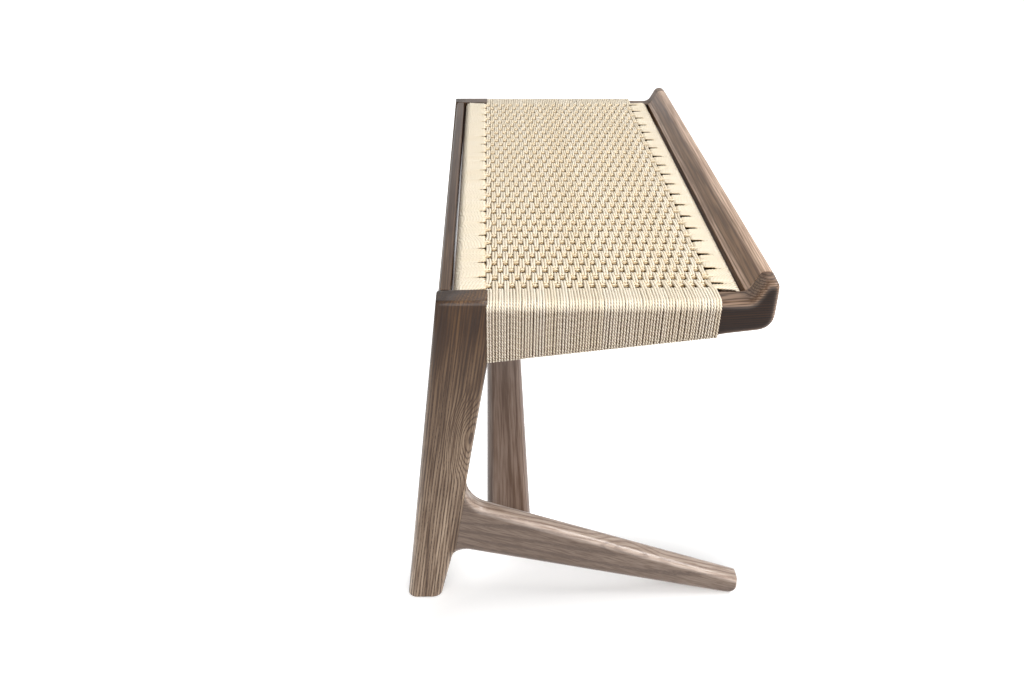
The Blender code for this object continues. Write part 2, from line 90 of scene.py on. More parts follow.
class Grain(Enum):
    """How a piece's long grain lies, as the turn that brings it upright."""

    UPRIGHT = (math.radians(8.0), math.radians(1.0), 0.0)
    SLOPING = (math.radians(109.7), math.radians(4.0), 0.0)
    CROSSWISE = (math.radians(88.0), math.radians(2.0), 0.0)
    LENGTHWISE = (math.radians(1.5), math.radians(-90.0), 0.0)

    @property
    def side_axis(self) -> Axis:
        """The axis that the broad sides of a piece with this grain face."""
        return Axis.Y if self is Grain.LENGTHWISE else Axis.X


def srgb(code: str) -> tuple[float, float, float, float]:
    """Linear colour of an sRGB hex code.

    Args:
        code: The code, with its leading #.

    Returns:
        Linear red, green and blue, and full alpha.
    """
    channels = [int(code[i : i + 2], 16) / 255 for i in (1, 3, 5)]
    linear = [c / 12.92 if c <= 0.04045 else ((c + 0.055) / 1.055) ** 2.4 for c in channels]
    return (*linear, 1.0)


def add_node(
    tree: Tree,
    kind: str,
    inputs: dict | None = None,
    stops: Iterable[tuple[float, str]] = (),
    out: int | str = 0,
    **settings: object,
) -> Socket:
    """Adds a shader node.

    Args:
        tree: The node tree that takes it.
        kind: The node's type name, without the ShaderNode that starts it.
        inputs: What each input takes, another node's output or a plain value.
        stops: Places and hex colours of a colour ramp.
        out: Which of its outputs is wanted.
        **settings: Attributes set on the node.

    Returns:
        The wanted output.
    """
    node = tree.nodes.new(f"ShaderNode{kind}")
    for name, value in settings.items():
        setattr(node, name, value)
    for socket, value in (inputs or {}).items():
        if isinstance(value, Socket):
            tree.links.new(value, node.inputs[socket])
        else:
            node.inputs[socket].default_value = value
    for i, (place, code) in enumerate(stops):
        elements = node.color_ramp.elements
        stop = elements[i] if i < len(elements) else elements.new(place)
        stop.position = place
        stop.color = srgb(code)
    return node.outputs[out]


def new_material(name: str, values: dict) -> tuple[bpy.types.Material, Tree, bpy.types.Node]:
    """Starts a material.

    Args:
        name: The material's name.
        values: Plain values of its shader's sockets.

    Returns:
        The material, its tree and its shader.
    """
    material = bpy.data.materials.new(name)
    material.use_nodes = True
    tree = material.node_tree
    tree.nodes.clear()
    surface = add_node(tree, "BsdfPrincipled", values)
    tree.links.new(surface, tree.nodes.new("ShaderNodeOutputMaterial").inputs["Surface"])
    return material, tree, surface.node


@dataclass(frozen=True)
class Walnut:
    """Oiled walnut: cool grey brown, satin, with soft bands, growth rings and fine dark pore lines.

    Lengths are in millimetres, and scales are features in a millimetre, across the grain and along
    it. Pores and fibres are drawn coarser than the real ones, so that they show.
    """

    grain: Grain
    seed: float
    light: str = "#a8917f"
    middle: str = "#957d6c"
    pore: str = "#463428"
    upper: str = WHITE  # painted shade of the wood near the seat
    aged: str = "#d8cec6"  # painted shade on the broad sides
    band: str = "#b3a69c"
    fibre: str = "#a8998d"
    fibre_run: float = 0.014
    pore_run: float = 0.035
    ring_pitch: float = 2.6
    ring_wander: float = 3.0  # in rings
    ring_jitter: float = 0.7
    heart: Range = (25.0, 130.0)
    swirl: Range = (0.0, 0.0)  # middle of an eye in the grain
    swirl_size: Range = (20.0, 45.0)
    swirl_turns: float = 0.0
    roughness: float = 0.38
    gloss: float = 0.3
    coat: float = 0.15
    coat_roughness: float = 0.22
    ior: float = 1.5
    seed_step: Point = (37.0, 53.0, 211.0)
    wander_scale: Range = (0.012, 0.0025)
    jitter_scale: Range = (0.16, 0.008)
    band_scale: Range = (0.045, 0.004)
    fibre_scale: float = 0.5
    pore_scale: float = 0.9
    tone_stops: Range = (0.15, 0.45)
    band_stops: Range = (0.34, 0.64)
    fibre_stops: Range = (0.36, 0.6)
    late_wood: Range = (0.3, 0.43)  # where in a ring its pores lie
    pore_edge: Range = (0.58, 0.42)
    pore_least: float = 0.35
    pore_relief: float = 0.1
    pore_depth: float = 0.0002  # metres
    upper_shade_rise: Range = (0.1, 0.4)  # metres above the floor over which the painted shade near the seat comes in
    aged_turn: Range = (0.6, 0.98)  # how squarely a broad side faces its axis, from no painted shade to full

    def material(self, name: str, middle: Vector) -> bpy.types.Material:
        """Builds the wood of one piece.

        Args:
            name: The material's name.
            middle: The piece's middle, which the heart of the tree is placed from.

        Returns:
            A procedural material that reads Object coordinates in millimetres.
        """
        values = {
            "Roughness": self.roughness,
            "IOR": self.ior,
            "Specular IOR Level": self.gloss,
            "Coat Weight": self.coat,
            "Coat Roughness": self.coat_roughness,
        }
        material, tree, shader = new_material(name, values)
        place = add_node(tree, "TexCoord", out="Object")
        shift = self.seed * Vector(self.seed_step)
        placing = {
            "Vector": place,
            "Location": shift - Euler(self.grain.value).to_matrix() @ (middle * MM),
            "Rotation": self.grain.value,
            "Scale": (MM, MM, MM),
        }
        wood = add_node(tree, "Mapping", placing)
        ring = self.rings(tree, wood, shift)
        dashes = self.streaks(tree, wood, (self.pore_scale, self.pore_run), 2.0)
        tint = self.tint(tree, wood, ring)
        colour = self.colour(tree, place, tint, ring, dashes)
        pores = {"Height": dashes, "Strength": self.pore_relief, "Distance": self.pore_depth}
        tree.links.new(colour, shader.inputs["Base Color"])
        tree.links.new(add_node(tree, "Bump", pores), shader.inputs["Normal"])
        return material

    @staticmethod
    def streaks(tree: Tree, wood: Socket, scale: Range, detail: float) -> Socket:
        """Noise drawn out along the grain.

        Args:
            tree: The material's node tree.
            wood: Coordinates in millimetres, with the grain upright.
            scale: Features in a millimetre, across the grain and along it.
            detail: How many finer layers the noise has.

        Returns:
            The noise's value.
        """
        across, along = scale
        drawn_out = add_node(tree, "Mapping", {"Vector": wood, "Scale": (across, across, along)})
        return add_node(tree, "TexNoise", {"Vector": drawn_out, "Scale": 1.0, "Detail": detail})

    def rings(self, tree: Tree, wood: Socket, shift: Vector) -> Socket:
        """Growth rings round the tree's heart, pushed aside by an eye in the grain.

        Args:
            tree: The material's node tree.
            wood: Coordinates in millimetres, with the grain upright.
            shift: Where the seed puts the piece's middle.

        Returns:
            Place in a ring, from nothing in its early wood to a half in its late wood.
        """
        heart = (self.heart[0] - shift.x, self.heart[1] - shift.y, 0.0)
        radial = add_node(
            tree, "Mapping", {"Vector": wood, "Location": heart, "Scale": (1.0, 1.0, 0.0)}
        )
        radius = add_node(tree, "VectorMath", {0: radial}, out="Value", operation="LENGTH")
        count = add_node(tree, "Math", {0: radius, 1: 1.0 / self.ring_pitch}, operation="MULTIPLY")
        for reach, scale, detail in (
            (self.ring_wander, self.wander_scale, 2.0),
            (self.ring_jitter, self.jitter_scale, 1.0),
        ):
            noise = self.streaks(tree, wood, scale, detail)
            count = add_node(tree, "Math", {0: noise, 1: reach, 2: count}, operation="MULTIPLY_ADD")
        across, along = self.swirl_size
        middle = (0.0, -(shift.y + self.swirl[0]) / across, -(shift.z + self.swirl[1]) / along)
        size = (0.0, 1.0 / across, 1.0 / along)
        centred = add_node(tree, "Mapping", {"Vector": wood, "Location": middle, "Scale": size})
        away = add_node(tree, "VectorMath", {0: centred}, out="Value", operation="LENGTH")
        turns = {"Value": away, "To Min": self.swirl_turns, "To Max": 0.0}
        eye = add_node(tree, "MapRange", turns, **SMOOTH)
        swirled = add_node(tree, "Math", {0: count, 1: eye}, operation="ADD")
        return add_node(tree, "Math", {0: swirled, 1: 0.5}, operation="PINGPONG")

    def tint(self, tree: Tree, wood: Socket, ring: Socket) -> Socket:
        """The wood's colour without its pores.

        Args:
            tree: The material's node tree.
            wood: Coordinates in millimetres, with the grain upright.
            ring: Place in a growth ring.

        Returns:
            The colour.
        """
        tint = add_node(tree, "ValToRGB", {0: ring}, zip(self.tone_stops, (self.light, self.middle)))
        for scale, places, dark in (
            (self.band_scale, self.band_stops, self.band),
            ((self.fibre_scale, self.fibre_run), self.fibre_stops, self.fibre),
        ):
            noise = self.streaks(tree, wood, scale, 3.0)
            veil = add_node(tree, "ValToRGB", {0: noise}, zip(places, (dark, WHITE)))
            tint = add_node(tree, "Mix", {0: 1.0, MIX_A: tint, MIX_B: veil}, **MULTIPLY)
        return tint

    def colour(self, tree: Tree, place: Socket, tint: Socket, ring: Socket, dashes: Socket) -> Socket:
        """The wood's colour with its pores, and painted shade that makes it browner above and darker on
        its broad sides.

        Args:
            tree: The material's node tree.
            place: Object coordinates.
            tint: The colour without pores.
            ring: Place in a growth ring.
            dashes: Noise that breaks the pore lines up.

        Returns:
            The colour.
        """
        start, end = self.late_wood
        late = add_node(
            tree, "MapRange", {"Value": ring, "From Min": start, "From Max": end}, **SMOOTH
        )
        start, end = self.pore_edge
        pores = add_node(
            tree,
            "MapRange",
            {"Value": dashes, "From Min": start, "From Max": end, "To Min": self.pore_least},
        )
        lines = add_node(tree, "Math", {0: late, 1: pores}, operation="MULTIPLY")
        # Painted shade: the wood browns towards the seat.
        height = add_node(tree, "SeparateXYZ", {0: place}, out="Z")
        start, end = self.upper_shade_rise
        shade_above = add_node(tree, "MapRange", {"Value": height, "From Min": start, "From Max": end})
        upper_shaded = add_node(tree, "Mix", {0: shade_above, MIX_A: tint, MIX_B: srgb(self.upper)}, **MULTIPLY)
        lined = add_node(tree, "Mix", {0: lines, MIX_A: upper_shaded, MIX_B: srgb(self.pore)}, **BLEND)
        # Painted shade: sides that face the grain's side axis are darker than the tops.
        normal = add_node(tree, "NewGeometry", out="Normal")
        facing = add_node(tree, "SeparateXYZ", {0: normal}, out=self.grain.side_axis.name)
        square = add_node(tree, "Math", {0: facing}, operation="ABSOLUTE")
        start, end = self.aged_turn
        broad = add_node(
            tree, "MapRange", {"Value": square, "From Min": start, "From Max": end}, **SMOOTH
        )
        return add_node(tree, "Mix", {0: broad, MIX_A: lined, MIX_B: srgb(self.aged)}, **MULTIPLY)


@dataclass(frozen=True)
class PaperCord:
    """Unbleached paper cord: warm cream and dull, with painted shade between its three plies, between
    its strands and in the web's pits.
    """

    crown: str = "#fcf2e0"
    # Colours of painted shade: the ply creases, the creases out of the light, the gaps between strands,
    # and the web's pits from dim to deep.
    groove: str = "#e6d8bc"
    shaded_groove: str = "#6e4c2a"
    gap: str = "#553818"
    pale: str = "#fbf8f2"
    dim: str = "#f7eede"
    sunk: str = "#a8906e"
    deep: str = "#281d12"
    roughness: float = 0.75
    ior: float = 1.45
    gloss: float = 0.08
    # Where the painted shade of the creases and of the gaps sets in, and how much gap shade stays on
    # the lit top.
    groove_edge: Range = (0.28, 0.48)
    flank_shade_edge: Range = (0.45, 0.8)
    lit_gap_shade: float = 0.34
    pit_places: tuple[float, ...] = (0.1, 0.3, 0.43, 0.53)

    def material(self, name: str) -> bpy.types.Material:
        """Builds the cord's material, which reads the attributes that each wound cord has.

        Args:
            name: The material's name.

        Returns:
            The material.
        """
        values = {"Roughness": self.roughness, "IOR": self.ior, "Specular IOR Level": self.gloss}
        material, tree, shader = new_material(name, values)
        ply, tone, pit, side, shade = (
            add_node(tree, "Attribute", out="Fac", attribute_name=mark)
            for mark in ("ply", "tone", "pit", "side", "shade")
        )
        depth = add_node(tree, "Math", {0: ply, 1: 0.5}, operation="PINGPONG")
        between, flank_shade = (
            add_node(tree, "MapRange", {"Value": value, "From Min": start, "From Max": end})
            for value, (start, end) in ((depth, self.groove_edge), (side, self.flank_shade_edge))
        )
        # Painted shade in the ply creases, much darker where the cord is out of the light.
        grooves = add_node(
            tree,
            "Mix",
            {0: shade, MIX_A: srgb(self.groove), MIX_B: srgb(self.shaded_groove)},
            **BLEND,
        )
        plies = {0: between, MIX_A: srgb(self.crown), MIX_B: grooves}
        colour = add_node(tree, "Mix", plies, **BLEND)
        # Painted shade that deepens into the web's pits.
        pits = zip(self.pit_places, (WHITE, self.dim, self.sunk, self.deep))
        for value, stops in ((tone, ((0.0, self.pale), (1.0, WHITE))), (pit, pits)):
            ramp = add_node(tree, "ValToRGB", {0: value}, stops)
            colour = add_node(tree, "Mix", {0: 1.0, MIX_A: colour, MIX_B: ramp}, **MULTIPLY)
        # Painted shade between strands: full down the wraps, broken into dashes on the lit top.
        gap_shading = flank_shade
        for value, least in ((shade, self.lit_gap_shade), (between, shade)):
            share = add_node(tree, "MapRange", {"Value": value, "To Min": least})
            gap_shading = add_node(tree, "Math", {0: gap_shading, 1: share}, operation="MULTIPLY")
        parted = add_node(tree, "Mix", {0: gap_shading, MIX_A: colour, MIX_B: srgb(self.gap)}, **MULTIPLY)
        tree.links.new(parted, shader.inputs["Base Color"])
        return material


@dataclass(frozen=True)
class Felt:
    """Pressed grey brown wool felt, matt, with a faint mottling about a millimetre across."""

    pale: str = "#6a6058"
    deep: str = "#4d453f"
    roughness: float = 0.95
    mottle_scale: float = 900.0
    mottle_stops: Range = (0.35, 0.65)

    def material(self, name: str) -> bpy.types.Material:
        """Builds the felt's material.

        Args:
            name: The material's name.

        Returns:
            The material.
        """
        material, tree, shader = new_material(name, {"Roughness": self.roughness})
        place = add_node(tree, "TexCoord", out="Object")
        mottle = {"Vector": place, "Scale": self.mottle_scale, "Detail": 3.0}
        tones = zip(self.mottle_stops, (self.deep, self.pale))
        colour = add_node(tree, "ValToRGB", {0: add_node(tree, "TexNoise", mottle)}, tones)
        tree.links.new(colour, shader.inputs["Base Color"])
        return material


def pick_only(piece: bpy.types.Object) -> None:
    """Leaves one piece selected and active.

    Args:
        piece: The piece.
    """
    bpy.ops.object.select_all(action="DESELECT")
    piece.select_set(True)
    bpy.context.view_layer.objects.active = piece


def hand_over(piece: bpy.types.Object, nodes: Sequence[str]) -> None:
    """Ties a finished piece to the frame.

    Args:
        piece: The piece.
        nodes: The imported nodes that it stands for.
    """
    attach(piece, "root")
    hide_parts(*nodes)
    log.info("%s: %d faces, for %s", piece.name, len(piece.data.polygons), ", ".join(nodes))


def smooth_step(share: np.ndarray) -> np.ndarray:
    """Eases a share so that it starts and ends level."""
    return share * share * (3.0 - 2.0 * share)


def eased(at: np.ndarray, stations: np.ndarray, heights: np.ndarray) -> np.ndarray:
    """Heights of a line that is level at each of its stations.

    Args:
        at: Places along the line.
        stations: Rising places where the height is known.
        heights: The height at each station.

    Returns:
        The height at each place.
    """
    i = np.clip(np.searchsorted(stations, at) - 1, 0, len(stations) - 2)
    share = np.clip((at - stations[i]) / (stations[i + 1] - stations[i]), 0.0, 1.0)
    return heights[i] + (heights[i + 1] - heights[i]) * smooth_step(share)


def rounded(corners: Sequence[Sequence[float]], radii: Sequence[float]) -> np.ndarray:
    """Points of an open flat line with its inner corners rounded.

    Args:
        corners: The line's corners.
        radii: Rounding of each corner but the first and last.

    Returns:
        The points, arcs included.
    """
    spots = [np.array(corner, float) for corner in corners]
    points = [spots[0]]
    for before, corner, after, radius in zip(spots, spots[1:], spots[2:], radii):
        into = (corner - before) / np.linalg.norm(corner - before)
        out = (after - corner) / np.linalg.norm(after - corner)
        half_turn = math.acos(float(np.clip(into @ out, -1.0, 1.0))) / 2
        reach = radius * math.tan(half_turn)
        start, end, pull = corner - into * reach, corner + out * reach, math.cos(half_turn)
        for share in np.linspace(0.0, 1.0, ARC_STEPS):
            weights = np.array(((1 - share) ** 2, 2 * share * (1 - share) * pull, share**2))
            blend = weights[0] * start + weights[1] * corner + weights[2] * end
            points.append(blend / weights.sum())
    points.append(spots[-1])
    return np.array(points)


@dataclass
class Cord:
    """Three-ply twisted cord, laid along closed lines."""

    diameter: float
    lay: float = 0.011  # length of one turn of the twist
    ring: float = 0.0015  # spacing of the mesh's rings
    groove: float = 1.0
    crown: float = 1.26
    plies: int = 3
    seed: int = 7

    def __post_init__(self) -> None:
        """Draws the cord's section, a lobe for each ply."""
        curve = bpy.data.curves.new("cord_section", "CURVE")
        curve.dimensions = "2D"
        spline = curve.splines.new("POLY")
        spline.points.add(2 * self.plies - 1)
        for i, point in enumerate(spline.points):
            angle = -math.pi * i / self.plies
            radius = self.diameter / 2 * (self.groove if i % 2 else self.crown)
            point.co = (radius * math.cos(angle), radius * math.sin(angle), 0.0, 1.0)
        spline.use_cyclic_u = True
        self.section = bpy.data.objects.new("cord_section", curve)
        self.chance = np.random.default_rng(self.seed)

    def resampled(self, path: np.ndarray) -> np.ndarray:
        """Spaces a closed line's points evenly.

        Args:
            path: The line's points.

        Returns:
            Points a ring's spacing apart.
        """
        loop = np.vstack((path, path[:1]))
        along = np.concatenate(([0.0], np.cumsum(np.linalg.norm(np.diff(loop, axis=0), axis=1))))
        count = round(along[-1] / self.ring)
        at = np.linspace(0.0, along[-1], count, endpoint=False)
        return np.column_stack([np.interp(at, along, loop[:, axis]) for axis in range(3)])

    def around(self, mesh: bpy.types.Mesh) -> np.ndarray:
        """Finds where each face corner lies round the cord.

        Args:
            mesh: The wound cord's mesh.

        Returns:
            A number for each corner, whole on a ply's crown.
        """
        count = 2 * self.plies
        corners = np.empty(len(mesh.loops), int)
        mesh.loops.foreach_get("vertex_index", corners)
        steps = (corners % count).reshape(-1, 4)
        closing = (steps.max(axis=1) == count - 1) & (steps.min(axis=1) == 0)
        steps[closing] = np.where(steps[closing] == 0, count, steps[closing])
        return steps.ravel() / 2.0

    def wind(
        self,
        name: str,
        paths: Iterable[np.ndarray],
        material: bpy.types.Material,
        depth: Callable[[np.ndarray], tuple[np.ndarray, np.ndarray]],
        beside: Axis,
    ) -> bpy.types.Object:
        """Winds the cord along closed lines as one piece.

        Args:
            name: The piece's name.
            paths: The closed lines.
            material: The cord's material.
            depth: Gives how deep each point lies in the web's pits and out of its top's light, for its
                painted shade.
            beside: The axis along which the next cord lies.

        Returns:
            The piece, with ply, tone, pit, shade and side attributes, the last three for painted shade.
        """
        curve = bpy.data.curves.new(name, "CURVE")
        curve.dimensions = "3D"
        curve.twist_mode = "MINIMUM"
        curve.bevel_mode = "OBJECT"
        curve.bevel_object = self.section
        tones = []
        for path in paths:
            points = self.resampled(path)
            count = len(points)
            turns = round(count * self.ring / self.lay * self.plies) / self.plies
            start = self.chance.uniform(0.0, math.tau)
            spline = curve.splines.new("POLY")
            spline.points.add(count - 1)
            spline.points.foreach_set("co", np.column_stack((points, np.ones(count))).ravel())
            twist = start - math.tau * turns * np.arange(count) / count
            spline.points.foreach_set("tilt", twist)
            spline.use_cyclic_u = True
            tones.append(np.full(2 * self.plies * count, self.chance.uniform()))
        piece = bpy.data.objects.new(name, curve)
        bpy.context.scene.collection.objects.link(piece)
        pick_only(piece)
        bpy.ops.object.convert(target="MESH")
        mesh = piece.data
        spots = np.empty(3 * len(mesh.vertices))
        mesh.vertices.foreach_get("co", spots)
        rings = spots.reshape(-1, 2 * self.plies, 3)
        spokes = rings - rings.mean(axis=1, keepdims=True)
        side = np.abs(spokes[:, :, beside.value]) / np.linalg.norm(spokes, axis=2)
        pit, shade = depth(spots.reshape(-1, 3))
        marks = {"tone": np.concatenate(tones), "side": side.ravel(), "pit": pit, "shade": shade}
        for mark, values in marks.items():
            mesh.attributes.new(mark, "FLOAT", "POINT").data.foreach_set("value", values)
        mesh.attributes.new("ply", "FLOAT", "CORNER").data.foreach_set("value", self.around(mesh))
        bpy.ops.object.shade_smooth()
        mesh.materials.clear()
        mesh.materials.append(material)
        return piece


@dataclass
class WovenSeat:
    """The seat's web: warp pairs along the bench, weft pairs across it, and the turns between."""

    cord: Cord
    material: bpy.types.Material
    core_material: bpy.types.Material
    # A thin dark sheet inside the web, painted shade that shows between the strands.
    core_drop: float = 0.003
    core_thickness: float = 0.001
    core_ease: float = 0.00025
    pairs: int = 40
    rows: int = 37
    row_pitch: float = 0.018
    warp_dive: float = 0.0042  # how far a warp pair sinks under a weft row
    dive_half: float = 0.0034
    dive_run: float = 0.0064
    slot: float = 0.0026  # open gap beside a weft row
    lowering: float = 0.0002
    band_reach: float = 0.012
    band_fade: float = 0.004
    # Spread and strength of the extra painted shade beside a bar's notch.
    notch_half: float = 0.0055
    notch_edge: float = 1.5
    draw_in: float = 0.0045  # how far the weft pulls the back edge in
    draw_reach: float = 0.03
    draw_power: int = 3
    weft_high: float = 0.0004
    weft_tilt: float = 0.0012
    weft_low: float = 0.003
    # Depths at which the painted shade of the pits and of the wraps is full.
    pit_depth: float = 0.006
    shade_depth: float = 0.012
    edge_bulge: float = 0.0012
    nail_height: float = 0.408
    warp_pieces: int = 4
    weft_pieces: int = 2
    rail_round: float = 0.007
    rail_inner_round: float = 0.003
    bar_round: float = 0.005
    inner_round: float = 0.0015
    wrap_back_bottom: float = 0.3845
    wander: float = 0.00014
    wander_waves: tuple[float, ...] = (7.0, 17.0, 31.0)
    fan_power: float = 2.5
    end_reach: float = 0.024
    end_out: float = 0.0004
    end_in: float = 0.0042
    tail_cords: int = 3  # cords that a turn's tail hangs down
    filler_steps: tuple[float, ...] = (-2.5, -1.5, 1.5, 2.5)  # cords from a row's middle
    notch_steps: tuple[float, ...] = (-0.5, 0.5)
    end_step: float = 3.5
    seed: int = 11

    def __post_init__(self) -> None:
        """Takes the web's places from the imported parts."""
        self.low, self.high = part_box("seat_weave")
        self.half = self.cord.diameter / 2
        self.top = self.high.z - self.half - self.lowering
        self.pitch = (self.high.y - self.low.y) / (2 * self.pairs)
        end = self.row_pitch * (self.rows - 1) / 2
        self.row_places = np.linspace(end, -end, self.rows)
        self.pair_places = self.low.y + self.pitch * (2 * np.arange(self.pairs) + 1)
        self.wrap_low, self.wrap_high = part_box("right_end_wrap")
        self.bars = (
            Bar("front", -1, 0, push=0.0014, notch_shade_gain=1.8, inset=0.0012),
            Bar("back", 1, self.pairs - 1, push=0.0032, notch_shade_gain=2.5, inset=0.0055),
        )
        self.chance = np.random.default_rng(self.seed)

    def over(self, pair: int, row: int) -> bool:
        """Whether a warp pair passes over a weft row counted from the right."""
        return (pair + row) % 2 == 1

    def depth(self, points: np.ndarray) -> tuple[np.ndarray, np.ndarray]:
        """How deep points lie below the web's top, as shares of a full depth.

        Args:
            points: The points.

        Returns:
            The depth in the web's pits as painted shade, nothing outside the web, and the depth in
            shade down its wraps, nothing inside it.
        """
        low, high = np.array(self.low.xy), np.array(self.high.xy)
        past = np.maximum(points[:, :2] - high, low - points[:, :2])
        reach = np.array((self.cord.diameter, self.band_reach))
        fade = np.array((self.cord.diameter, self.band_fade))
        inside = np.clip((reach - past) / fade, 0.0, 1.0).min(axis=1)
        drop = self.high.z - points[:, 2]
        # Rows that go down inside a bar deepen the painted shade beside their notches.
        shade_gain = 1.0 + sum(bar.notch_shade_gain * bar.beside_notch(self, points) for bar in self.bars)
        # Painted shade: the cord darkens with depth below the web's top.
        pit = np.clip(drop / self.pit_depth * shade_gain, 0.0, 1.0) * inside
        return pit, np.clip(drop / self.shade_depth, 0.0, 1.0) * (1.0 - inside)

    def drift(self, count: int) -> np.ndarray:
        """A slow hand-made wander of a strand from its line.

        Args:
            count: How many points the strand has.

        Returns:
            The shift of each point.
        """
        at = np.linspace(0.0, 1.0, count)
        phases = self.chance.uniform(0.0, math.tau, len(self.wander_waves))
        waves = zip(self.wander_waves, phases)
        return self.wander * sum(np.sin(math.tau * wave * at + phase) for wave, phase in waves)

    def loop(self, there: np.ndarray, back: np.ndarray) -> np.ndarray:
        """Closes a pair of strands round the nails at their two ends.

        Args:
            there: Points of the first strand.
            back: Points of the second strand, from the same end.

        Returns:
            One closed line.
        """
        turns = [(there[i] + back[i]) / 2 + (0.0, 0.0, self.half) for i in (-1, 0)]
        return np.vstack((there, turns[:1], back[::-1], turns[1:]))

    def warp_heights(self, pair: int, edge: float) -> tuple[np.ndarray, np.ndarray]:
        """Stations and heights of a warp pair, level but for a dive under every other weft row.

        Args:
            pair: Which warp pair, counted from the front.
            edge: Where the end rails' tops begin.

        Returns:
            Rising places along the bench and the height at each.
        """
        stations, heights = [-edge], [self.top]
        for row in reversed(range(self.rows)):
            place = self.row_places[row]
            if self.over(pair, row):
                stations.append(place)
                heights.append(self.top)
            else:
                far, near = (-self.dive_run, -self.dive_half), (self.dive_half, self.dive_run)
                stations += [place + reach for reach in far]
                stations += [place + reach + self.slot for reach in near]
                deep = self.top - self.warp_dive
                heights += [self.top, deep, deep, self.top]
        return np.array([*stations, edge]), np.array([*heights, self.top])

    def warp_strand(self, pair: int, place: float) -> np.ndarray:
        """Line of one warp strand, from nail to nail round both end rails.

        Args:
            pair: Which warp pair it belongs to, counted from the front.
            place: Where it lies across the seat.

        Returns:
            The strand's points.
        """
        share = (place - self.low.y) / (self.high.y - self.low.y)
        bottom = self.wrap_low.z + (self.wrap_back_bottom - self.wrap_low.z) * share + self.half
        inner, outer = self.wrap_low.x + self.half, self.wrap_high.x - self.half
        edge = self.wrap_low.x + self.cord.diameter
        corners = (
            (edge, self.top),
            (outer, self.top),
            (outer, bottom),
            (inner, bottom),
            (inner, self.nail_height),
        )
        outer_round = self.rail_round + self.half
        tail = rounded(corners, (outer_round, outer_round, self.rail_inner_round + self.half))
        across = np.arange(-edge, edge, self.cord.ring)
        web = np.column_stack((across, eased(across, *self.warp_heights(pair, edge))))
        flat = np.vstack((tail[::-1] * (-1.0, 1.0), web, tail))
        spread = (self.wrap_high.y - self.high.y) * share
        sag = np.clip((self.top - flat[:, 1]) / (self.top - bottom), 0.0, 1.0)
        sideways = place + spread * sag + self.drift(len(flat)) + self.bulge(pair, flat[:, 0])
        sideways += self.drawn(share, flat[:, 0])
        return np.column_stack((flat[:, 0], sideways, flat[:, 1]))

    def drawn(self, share: float | np.ndarray, along: float | np.ndarray) -> np.ndarray:
        """How far the weft pulls a warp strand in towards the front.

        Args:
            share: Where the strand lies across the seat, from nothing at the front to one.
            along: Places along the bench.

        Returns:
            The shift of each place across the bench, nothing on the end rails.
        """
        inside = (self.row_places[0] + self.row_pitch - np.abs(along)) / self.draw_reach
        return -self.draw_in * share**self.draw_power * smooth_step(np.clip(inside, 0.0, 1.0))

    def bulge(self, pair: int, along: np.ndarray) -> np.ndarray:
        """How far an outermost warp pair swings out where the weft holds it down.

        Args:
            pair: Which warp pair, counted from the front.
            along: Places along the bench.

        Returns:
            The shift of each place across the bench, nothing for the other pairs.
        """
        if pair not in (0, self.pairs - 1):
            return np.zeros(len(along))
        outward = -1.0 if pair == 0 else 1.0
        held = next(row for row in range(self.rows) if not self.over(pair, row))
        wave = np.cos(math.pi * (along - self.row_places[held]) / self.row_pitch)
        inside = np.clip((self.row_places[0] - np.abs(along)) / self.row_pitch + 1.0, 0.0, 1.0)
        return outward * self.edge_bulge * 0.5 * (wave + 1.0) * inside

    def fan(self, bar: "Bar", along: float, across: np.ndarray) -> np.ndarray:
        """Sideways shift of a turn that fans out over a cord bar.

        Args:
            bar: The bar.
            along: Where the turn lies along the bench.
            across: Places of its points across the bench.

        Returns:
            The shift of each point along the bench.
        """
        width = bar.far - bar.near + bar.inset
        inner = np.clip((bar.far - bar.facing * across) / width, 0.0, 1.0)
        notches = self.row_places[[row for row in range(self.rows) if bar.notched(self, row)]]
        away = along - notches[np.argmin(np.abs(notches - along))]
        push = bar.push * max(0.0, 1.0 - abs(away) / self.row_pitch) * math.copysign(1.0, away)
        ending = max(0.0, (abs(along) - self.high.x + self.end_reach) / self.end_reach) ** 2
        slant = self.end_out * (1.0 - inner) - self.end_in * inner
        return push * inner**self.fan_power + math.copysign(ending, along) * slant

    def bar_tail(self, bar: "Bar", row: int) -> np.ndarray:
        """Line of a weft row's end at a cord bar, over the bar or down inside it.

        Args:
            bar: The bar.
            row: Which row, counted from the right.

        Returns:
            Points across the seat and upward, from the web outward.
        """
        bottom = bar.bottom - self.half
        if bar.notched(self, row):
            inside = bar.near - self.half - bar.inset
            low = self.top - self.weft_low
            line = ((inside - self.cord.diameter, low), (inside, low), (inside, bottom))
            return rounded(line, [self.half]) * (bar.facing, 1.0)
        line = (
            (bar.near + self.bar_round, self.top),
            (bar.far + self.half, self.top),
            (bar.far + self.half, bottom),
            (bar.near - self.half, bottom),
            (bar.near - self.half, self.top - self.tail_cords * self.cord.diameter),
        )
        return rounded(line, [self.bar_round + self.half] * 3) * (bar.facing, 1.0)

